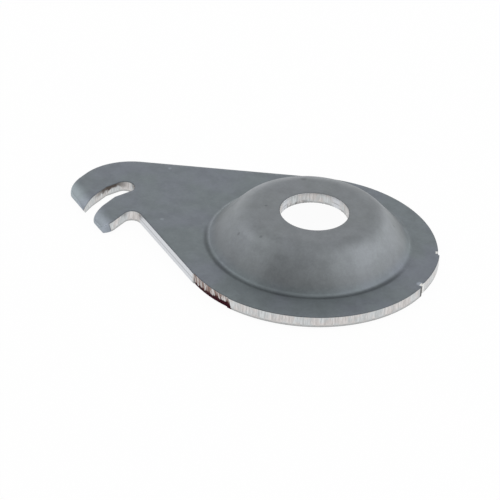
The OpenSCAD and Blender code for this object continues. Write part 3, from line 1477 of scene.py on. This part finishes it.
        colour = hex_colour(self.greener)
        for span, value, unit, other in (
            (self.tints, mottle, 1.0, self.bluer), (self.stretched, height, MM, self.neutral)
        ):
            share = add_node(tree, "ShaderNodeMapRange", span.inputs(value, unit), **SOFTLY)
            mixed = {"Factor": share, "A": colour, "B": hex_colour(other)}
            colour = add_node(tree, "ShaderNodeMix", mixed, data_type="RGBA")

        factors = [
            add_node(tree, "ShaderNodeMapRange", span.inputs(value, unit), **SOFTLY)
            for span, value, unit in (
                (self.grain_light, grain, 1.0),
                # Painted highlight on the dome's side and shoulder, and painted shade on the crown
                (self.shoulder_light, height, MM),
                (self.crown_light, height, MM),
                # Painted highlight on the drooped tips
                (self.tips_light, past, MM),
                # Painted highlight on the skin drawn over a wall
                (self.drawn_light, drawn, 1.0),
                (self.smudge_light, smudges, 1.0),
                # Painted shade on the rolled-over edges
                (self.edge_light, depth, 1.0),
            )
        ]
        # Painted shade in the hollow round the dome's foot, then the blots
        factors += [self.residue.build(tree, flat, height, mottle), *self._blots(tree, flat)]
        light = chain(tree, "ShaderNodeMath", factors, operation="MULTIPLY")
        return add_node(
            tree, "ShaderNodeVectorMath", {0: colour, "Scale": light}, operation="SCALE"
        )

    def build(self) -> bpy.types.Material:
        """Makes the material.

        Returns:
            The new material.
        """
        material, tree, shader, _ = new_material("pickled_and_tumbled_steel_sheet")
        place = add_node(tree, "ShaderNodeTexCoord").outputs["Object"]
        fine = 1 / (self.grain.size_mm * MM)
        grain = add_node(tree, "ShaderNodeTexNoise", self.grain.inputs(place, fine)).outputs[0]
        rough = add_node(tree, "ShaderNodeMapRange", self.rough.inputs(grain), **SOFTLY)
        relief = {"Height": grain, "Strength": self.bump, "Distance": self.bump_mm * MM}
        bump = add_node(tree, "ShaderNodeBump", relief)
        colour = self._colour(tree, place, grain)
        tree.links.new(colour.outputs[0], shader.inputs["Base Color"])
        tree.links.new(rough.outputs[0], shader.inputs["Roughness"])
        tree.links.new(bump.outputs[0], shader.inputs["Normal"])
        shader.inputs["Metallic"].default_value = 1.0
        return material


@dataclass(frozen=True)
class ShearedSteel:
    """Low-carbon steel, sheared by punch and die.

    Bare metal shows here. The eye sees a bright band with fine upright scores, a duller, ragged
    band below it where the steel broke, and dark red rust under pale streaks where the coat of
    oil had gone. A slit wall is smoother and bluer, with one grey line along it. Depths are in
    millimetres below the top edge.

    Attributes:
        warm: The bright band's one tint.
        cool: Its other tint.
        dull: Colour of the broken band.
        smooth: Colour of a slit wall.
        torn: Colour of a fresh nick.
        smear: Colour of the painted shade on the upper part of the slot's far wall.
        gap: Colour of the painted shade in the gaps between teeth, and of the painted shadow in
        the narrow recess beside a nick.
        rust_dark: Colour of the rust.
        rust_light: Colour of its paler streaks.
        scores: The upright scores.
        tints: The tints' patches.
        teeth: The serrations of a lower edge.
        streaks: The rust's streaks.
        streak_lean: How far they lean along the wall, for a step down it.
        drawn_out: How fast a pattern changes down the wall, for each millimetre.
        tint_share: How the tints' patches go from warm to cool.
        score_light: Factor on the colour, over the scores.
        wander: How far the broken band's upper edge wanders, over the scores.
        broken: Depths over which the broken band starts.
        slit_cover: Share of the slit wall's own colour there.
        slit_line: Depth of the grey line on a slit wall, and its reach to both sides.
        slit_light: Factor on the colour, over that line.
        tooth_gaps: How dark the painted shade in the gaps between teeth is, over their pattern.
        tooth_depth: Depths over which the teeth start.
        tongues: How far the painted shade on the slot's far wall reaches up or down, over the
        tints' patches.
        dragged: Depths over which that painted shade ends.
        rust_uneven: How far the rust climbs or falls, over the streaks.
        rust_rise: How much higher it climbs, along its stretch.
        rust_start: The first part of its stretch, over which it starts.
        rust_foot: Depths, so raised, over which the rust starts.
        crust_streaks: Where the rust has paler streaks.
        crust_depth: Depths, so raised, over which those end.
        stain: How strong the stain above the rust is, over the streaks.
        stain_matt: How matt the stain is, against rust.
        metallic: Metallic, over how matt the surface is.
        rough: Roughness, over the same.
        sheen: Specular level, over the same.
        bump: Strength of the scores' relief.
        bump_mm: Its height.
    """

    warm: str = "D2CECC"
    cool: str = "CCCFD0"
    dull: str = "A9AAAA"
    smooth: str = "D6D9DE"
    torn: str = "F6F6F4"
    # Painted shade on the upper part of the slot's far wall
    smear: str = "57504C"
    # Painted shade in the gaps between teeth and in the recess beside a nick
    gap: str = "5A5857"
    rust_dark: str = "360A18"
    rust_light: str = "8A6A5E"
    scores: Pattern = Pattern(0.22, 3.0, 0.7)
    tints: Pattern = Pattern(1.5, 3.0, 0.6)
    teeth: Pattern = Pattern(0.3, 1.0, 0.5)
    streaks: Pattern = Pattern(0.42, 2.0, 0.6)
    streak_lean: float = 0.45
    drawn_out: float = 0.5
    tint_share: Span = Span(0.4, 0.6)
    score_light: Span = Span(0.3, 0.7, 0.77, 1.14)
    wander: Span = Span(0.2, 0.8, -0.16, 0.16)
    broken: Span = Span(1.16, 1.4)
    slit_cover: float = 0.85
    slit_line: tuple = (0.85, 0.14)
    slit_light: Span = Span(0.0, 1.0, 1.0, 0.62)
    tooth_gaps: Span = Span(0.44, 0.56, 0.0, 0.6)
    tooth_depth: Span = Span(0.95, 1.1)
    tongues: Span = Span(0.35, 0.65, -0.3, 0.3)
    dragged: Span = Span(0.4, 0.95, 1.0, 0.0)
    rust_uneven: Span = Span(0.3, 0.7, -0.22, 0.22)
    rust_rise: Span = Span(0.0, 1.0, 0.12, 0.56)
    rust_start: Span = Span(0.0, 0.02)
    rust_foot: Span = Span(1.1, 1.3)
    crust_streaks: Span = Span(0.45, 0.8)
    crust_depth: Span = Span(1.8, 1.25)
    stain: Span = Span(0.38, 0.56, 0.0, 0.85)
    stain_matt: float = 0.8
    metallic: Span = Span(0.0, 1.0, 1.0, 0.0)
    rough: Span = Span(0.0, 1.0, 0.34, 0.85)
    sheen: Span = Span(0.0, 1.0, 0.5, 0.12)
    bump: float = 0.5
    bump_mm: float = 0.03

    def _upright(self, tree: Tree, marks: dict, pattern: Pattern, lean: float = 0.0) -> Node:
        """Lays a pattern on the wall, drawn out from top to bottom.

        Args:
            tree: The node tree.
            marks: The mesh's own marks.
            pattern: The pattern.
            lean: How far it leans along the wall, for a step down it.

        Returns:
            The pattern's node.
        """
        slip = chain(tree, "ShaderNodeMath", [marks["depth"], lean], operation="MULTIPLY")
        along = chain(tree, "ShaderNodeMath", [marks["run"], slip], operation="SUBTRACT")
        across, down = (
            chain(tree, "ShaderNodeMath", [value, rate], operation="MULTIPLY")
            for value, rate in ((along, 1 / pattern.size_mm), (marks["depth"], self.drawn_out))
        )
        place = add_node(tree, "ShaderNodeCombineXYZ", {"X": across, "Y": down})
        return add_node(tree, "ShaderNodeTexNoise", pattern.inputs(place, 1.0)).outputs[0]

    def _metal(self, tree: Tree, marks: dict, scores: Feed) -> Node:
        """Makes the colour of the bare wall.

        Args:
            tree: The node tree.
            marks: The mesh's own marks.
            scores: The upright scores.

        Returns:
            The colour's node.
        """
        depth = marks["depth"]
        tints = self._upright(tree, marks, self.tints)
        teeth = self._upright(tree, marks, self.teeth)
        share, score_light, wander, tongues, gaps, line = (
            add_node(tree, "ShaderNodeMapRange", span.inputs(value), **SOFTLY)
            for span, value in (
                (self.tint_share, tints),
                (self.score_light, scores),
                (self.wander, scores),
                (self.tongues, tints),
                (self.tooth_gaps, teeth),
                (self.slit_light, peak(tree, depth, *self.slit_line)),
            )
        )
        ragged, dragged_to = (
            chain(tree, "ShaderNodeMath", [depth, value], operation="ADD")
            for value in (wander, tongues)
        )
        broken, tooth_part, smear_part = (
            add_node(tree, "ShaderNodeMapRange", span.inputs(value), **SOFTLY)
            for span, value in (
                (self.broken, ragged), (self.tooth_depth, ragged), (self.dragged, dragged_to)
            )
        )
        slit, toothed, smeared = (
            chain(tree, "ShaderNodeMath", values, operation="MULTIPLY")
            for values in (
                [marks["slit"], self.slit_cover],
                [marks["teeth"], gaps, tooth_part],
                [marks["smear"], smear_part],
            )
        )
        tinted = {"Factor": share, "A": hex_colour(self.warm), "B": hex_colour(self.cool)}
        bright = add_node(tree, "ShaderNodeMix", tinted, data_type="RGBA")
        metal, smooth = (
            add_node(tree, "ShaderNodeVectorMath", {0: colour, "Scale": light}, operation="SCALE")
            for colour, light in ((bright, score_light), (hex_colour(self.smooth)[:3], line))
        )
        for part, colour in (
            (broken, hex_colour(self.dull)),
            (slit, smooth),
            # Painted shade in the gaps between teeth
            (toothed, hex_colour(self.gap)),
            # Painted shade on the upper part of the slot's far wall
            (smeared, hex_colour(self.smear)),
            (marks["torn"], hex_colour(self.torn)),
            # Painted shadow in the narrow recess beside the first nick
            (marks["seam"], hex_colour(self.gap)),
        ):
            covered = {"Factor": part, "A": metal, "B": colour}
            metal = add_node(tree, "ShaderNodeMix", covered, data_type="RGBA")
        return metal

    def _rust(self, tree: Tree, marks: dict, metal: Feed) -> tuple:
        """Lays stain and rust on the bare wall. The rust climbs from the wall's foot.

        Args:
            tree: The node tree.
            marks: The mesh's own marks.
            metal: The bare wall's colour.

        Returns:
            The nodes of the colour and of how matt it is.
        """
        streaks = self._upright(tree, marks, self.streaks, self.streak_lean)
        uneven, rise, inside, stain_part, pale = (
            add_node(tree, "ShaderNodeMapRange", span.inputs(value), **SOFTLY)
            for span, value in (
                (self.rust_uneven, streaks),
                (self.rust_rise, marks["rust"]),
                (self.rust_start, marks["rust"]),
                (self.stain, streaks),
                (self.crust_streaks, streaks),
            )
        )
        climb = chain(tree, "ShaderNodeMath", [marks["depth"], uneven, rise], operation="ADD")
        foot, pale_part = (
            add_node(tree, "ShaderNodeMapRange", span.inputs(climb), **SOFTLY)
            for span in (self.rust_foot, self.crust_depth)
        )
        rusty, stained, pale_rust = (
            chain(tree, "ShaderNodeMath", values, operation="MULTIPLY")
            for values in ([foot, inside], [inside, stain_part], [pale, pale_part])
        )
        dark, light = hex_colour(self.rust_dark), hex_colour(self.rust_light)
        mixed = {"Factor": pale_rust, "A": dark, "B": light}
        crust = add_node(tree, "ShaderNodeMix", mixed, data_type="RGBA")
        colour = metal
        for part, over in ((stained, light), (rusty, crust)):
            covered = {"Factor": part, "A": colour, "B": over}
            colour = add_node(tree, "ShaderNodeMix", covered, data_type="RGBA")
        dulled = chain(tree, "ShaderNodeMath", [stained, self.stain_matt], operation="MULTIPLY")
        matt = chain(tree, "ShaderNodeMath", [rusty, dulled, marks["torn"]], operation="MAXIMUM")
        return colour, matt

    def build(self) -> bpy.types.Material:
        """Makes the material.

        Returns:
            The new material.
        """
        material, tree, shader, _ = new_material("sheared_low_carbon_steel")
        marks = {
            name: add_node(tree, "ShaderNodeAttribute", attribute_name=name).outputs["Fac"]
            for name in WALL_MARKS
        }
        scores = self._upright(tree, marks, self.scores)
        colour, matt = self._rust(tree, marks, self._metal(tree, marks, scores))
        tree.links.new(colour.outputs["Result"], shader.inputs["Base Color"])
        for span, name in (
            (self.metallic, "Metallic"),
            (self.rough, "Roughness"),
            (self.sheen, "Specular IOR Level"),
        ):
            level = add_node(tree, "ShaderNodeMapRange", span.inputs(matt), **SOFTLY)
            tree.links.new(level.outputs[0], shader.inputs[name])
        relief = {"Height": scores, "Strength": self.bump, "Distance": self.bump_mm * MM}
        bump = add_node(tree, "ShaderNodeBump", relief)
        tree.links.new(bump.outputs[0], shader.inputs["Normal"])
        return material


@dataclass(frozen=True)
class StudioCamera:
    """The camera, placed so that the washer lies as in the photograph.

    Attributes:
        lens_mm: Focal length.
        sensor_mm: Width of the sensor.
        elevation: Height of the camera above the horizon, in degrees.
        turn: How far the washer is turned to the camera, in degrees.
        roll: Tilt of the picture, in degrees.
        depth_mm: Distance to the bore axis at the flange's top face.
        bore_px: The picture's pixel on which that point falls.
        frame_px: Width and height of the picture.
        sight_m: Nearest and farthest distances that it sees.
    """

    lens_mm: float = 252.0
    sensor_mm: float = 36.0
    elevation: float = 32.894
    turn: float = 31.95
    roll: float = 3.348
    depth_mm: float = 458.916
    bore_px: tuple = (312.433, 241.681)
    frame_px: float = 500.0
    sight_m: tuple = (0.01, 10.0)

    def build(self, target: Vector) -> bpy.types.Object:
        """Makes the camera and sets it as the scene's own.

        Args:
            target: The point that falls on bore_px, in metres.

        Returns:
            The camera.
        """
        tilt, roll = math.radians(self.elevation), math.radians(self.roll)
        level = Matrix((
            (1, 0, 0),
            (0, -math.sin(tilt), -math.cos(tilt)),
            (0, math.cos(tilt), -math.sin(tilt)),
        ))
        rolled = Matrix((
            (math.cos(roll), -math.sin(roll), 0),
            (math.sin(roll), math.cos(roll), 0),
            (0, 0, 1),
        ))
        axes = rolled @ level @ Matrix.Rotation(math.radians(-self.turn), 3, "Z")
        focal_px = self.lens_mm / self.sensor_mm * self.frame_px
        middle = self.frame_px / 2
        seen = Vector((
            (self.bore_px[0] - middle) / focal_px,
            (self.bore_px[1] - middle) / focal_px,
            1.0,
        )) * self.depth_mm * MM
        data = bpy.data.cameras.new("studio_camera")
        data.lens, data.sensor_width = self.lens_mm, self.sensor_mm
        data.clip_start, data.clip_end = self.sight_m
        camera = bpy.data.objects.new("studio_camera", data)
        right, down, ahead = axes
        pose = Matrix((right, -down, -ahead)).transposed().to_4x4()
        pose.translation = target - axes.transposed() @ seen
        camera.matrix_world = pose
        bpy.context.scene.collection.objects.link(camera)
        bpy.context.scene.camera = camera
        return camera


def facing(bearing: float, height: float) -> Vector:
    """Gives a step in space towards a bearing and an elevation, both in degrees."""
    flat = heading(bearing) * math.cos(math.radians(height))
    return Vector((flat[0], flat[1], math.sin(math.radians(height))))


@dataclass(frozen=True)
class Panel:
    """A flat rectangle in the studio that faces the washer.

    Attributes:
        name: Its name.
        bearing: Direction from the washer in the plan, in degrees.
        height: Elevation, in degrees.
        distance: Distance in metres.
        wide: Width in metres.
        tall: Height in metres.
        glow: How bright its face looks, the white room being 1.
    """

    name: str
    bearing: float
    height: float
    distance: float
    wide: float
    tall: float
    glow: float

    def place(self, data: bpy.types.ID) -> bpy.types.Object:
        """Puts the panel in the scene, turned to the washer.

        Args:
            data: Its mesh or lamp.

        Returns:
            Its object.
        """
        panel = bpy.data.objects.new(self.name, data)
        way = facing(self.bearing, self.height)
        panel.location = way * self.distance
        panel.rotation_mode = "QUATERNION"
        panel.rotation_quaternion = way.to_track_quat("Z", "Y")
        bpy.context.scene.collection.objects.link(panel)
        return panel


@dataclass(frozen=True)
class SoftBox(Panel):
    """A soft studio lamp."""

    def build(self) -> bpy.types.Object:
        """Makes the lamp.

        Returns:
            The lamp's object.
        """
        data = bpy.data.lights.new(self.name, "AREA")
        data.shape = "RECTANGLE"
        data.size, data.size_y = self.wide, self.tall
        data.energy = self.glow * math.pi * self.wide * self.tall
        return self.place(data)


@dataclass(frozen=True)
class Flag(Panel):
    """A grey card, which keeps part of the white room out of the washer's reflections."""

    def build(self) -> bpy.types.Object:
        """Makes the card, out of the camera's sight.

        Returns:
            The card's object.
        """
        mesh = bpy.data.meshes.new(self.name)
        x, y = self.wide / 2, self.tall / 2
        mesh.from_pydata([(-x, -y, 0), (x, -y, 0), (x, y, 0), (-x, y, 0)], [], [(0, 1, 2, 3)])
        material, tree, shader, out = new_material("grey_felt_" + self.name)
        tree.nodes.remove(shader)
        # The felt's own glow stands for the room's light on it, so that lamps don't change it
        grey = (self.glow, self.glow, self.glow, 1.0)
        felt = add_node(tree, "ShaderNodeEmission", {"Color": grey, "Strength": 1.0})
        tree.links.new(felt.outputs[0], out.inputs["Surface"])
        mesh.materials.append(material)
        card = self.place(mesh)
        card.visible_camera = False
        card.visible_shadow = False
        card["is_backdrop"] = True
        return card


@dataclass(frozen=True)
class Studio:
    """The white ground, the room's light, the lamps and the flags.

    Attributes:
        ground_size: Side of the ground in metres.
        ground_colour: The ground's colour.
        ground_rough: Its roughness.
        room: Strength of the room's light on matt surfaces.
        shade: Share of the ground that takes the object's shadow.
        panels: The soft boxes and the flags.
    """

    ground_size: float = 6.0
    ground_colour: str = "F4F4F4"
    ground_rough: float = 0.9
    room: float = 0.8
    shade: float = 0.04
    panels: tuple = (
        SoftBox("right_softbox", bearing=30, height=46, distance=0.9, wide=0.75, tall=0.7, glow=1.08),
        SoftBox("back_softbox", bearing=66, height=9, distance=0.9, wide=0.9, tall=0.4, glow=1.15),
        SoftBox("rear_softbox", bearing=140, height=5, distance=0.92, wide=0.9, tall=0.3, glow=1.22),
        SoftBox("left_softbox", bearing=192, height=42, distance=0.9, wide=0.5, tall=0.4, glow=1.4),
        Flag("front_flag", bearing=294, height=30, distance=0.8, wide=1.15, tall=0.4, glow=0.22),
        Flag("left_flag", bearing=228, height=12, distance=0.82, wide=0.9, tall=0.4, glow=0.6),
    )

    def _seen(self, tree: Tree) -> Node:
        """Makes a factor that is 1 for what is seen, also in a reflection or through glass.

        Args:
            tree: The node tree.

        Returns:
            The factor's node.
        """
        path = add_node(tree, "ShaderNodeLightPath")
        rays = [
            path.outputs[name] for name in ("Is Camera Ray", "Is Glossy Ray", "Is Transmission Ray")
        ]
        return chain(tree, "ShaderNodeMath", rays, operation="MAXIMUM")

    def _world(self) -> None:
        """Makes a room that looks white and lights plainly."""
        world = bpy.data.worlds.new("white_room")
        bpy.context.scene.world = world
        world.use_nodes = True
        tree = world.node_tree
        tree.nodes.clear()
        levels = {"Value": self._seen(tree), "To Min": self.room, "To Max": 1.0}
        strength = add_node(tree, "ShaderNodeMapRange", levels)
        white = add_node(
            tree, "ShaderNodeBackground", {"Color": (1.0, 1.0, 1.0, 1.0), "Strength": strength}
        )
        add_node(tree, "ShaderNodeOutputWorld", {"Surface": white})

    def _ground(self, height: float) -> bpy.types.Object:
        """Makes the pale ground.

        Args:
            height: Its height in metres.

        Returns:
            The ground's object.
        """
        half = self.ground_size / 2
        mesh = bpy.data.meshes.new("ground")
        plan = ((-half, -half), (half, -half), (half, half), (-half, half))
        mesh.from_pydata([(x, y, height) for x, y in plan], [], [(0, 1, 2, 3)])
        ground = bpy.data.objects.new("ground", mesh)
        bpy.context.scene.collection.objects.link(ground)
        material, tree, shader, out = new_material("white_paper_ground")
        shader.inputs["Base Color"].default_value = hex_colour(self.ground_colour)
        shader.inputs["Roughness"].default_value = self.ground_rough
        shader.inputs["Specular IOR Level"].default_value = 0.0
        glow = add_node(
            tree, "ShaderNodeEmission", {"Color": (1.0, 1.0, 1.0, 1.0), "Strength": 1.0}
        )
        seen = [self._seen(tree), 1 - self.shade]
        share = chain(tree, "ShaderNodeMath", seen, operation="MULTIPLY")
        mixed = add_node(tree, "ShaderNodeMixShader", {0: share, 1: shader, 2: glow})
        tree.links.new(mixed.outputs[0], out.inputs["Surface"])
        mesh.materials.append(material)
        ground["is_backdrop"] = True
        return ground

    def build(self, ground_height: float) -> None:
        """Makes the room, the ground, the lamps and the flags.

        Args:
            ground_height: Height of the ground, in metres.
        """
        bpy.context.scene.view_settings.view_transform = "Standard"
        self._world()
        self._ground(ground_height)
        for panel in self.panels:
            panel.build()


def main() -> None:
    """Builds the scene: camera, washer and studio."""
    logging.basicConfig(level=logging.INFO, format="%(message)s")
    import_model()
    cad_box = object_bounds()

    sizes = WasherSizes()
    StudioCamera().build(Vector((0, 0, sizes.flange_top * MM)))
    finishes = [TumbledSheet().build(), ShearedSteel().build()]
    washer = Washer(sizes).build(finishes)
    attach(washer, "root")
    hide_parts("washer")
    log.info("washer: %d faces", len(washer.data.polygons))

    Studio().build(cad_box[0].z)
    log.info("studio: ground, room and lamps")


if __name__ == "__main__":
    main()
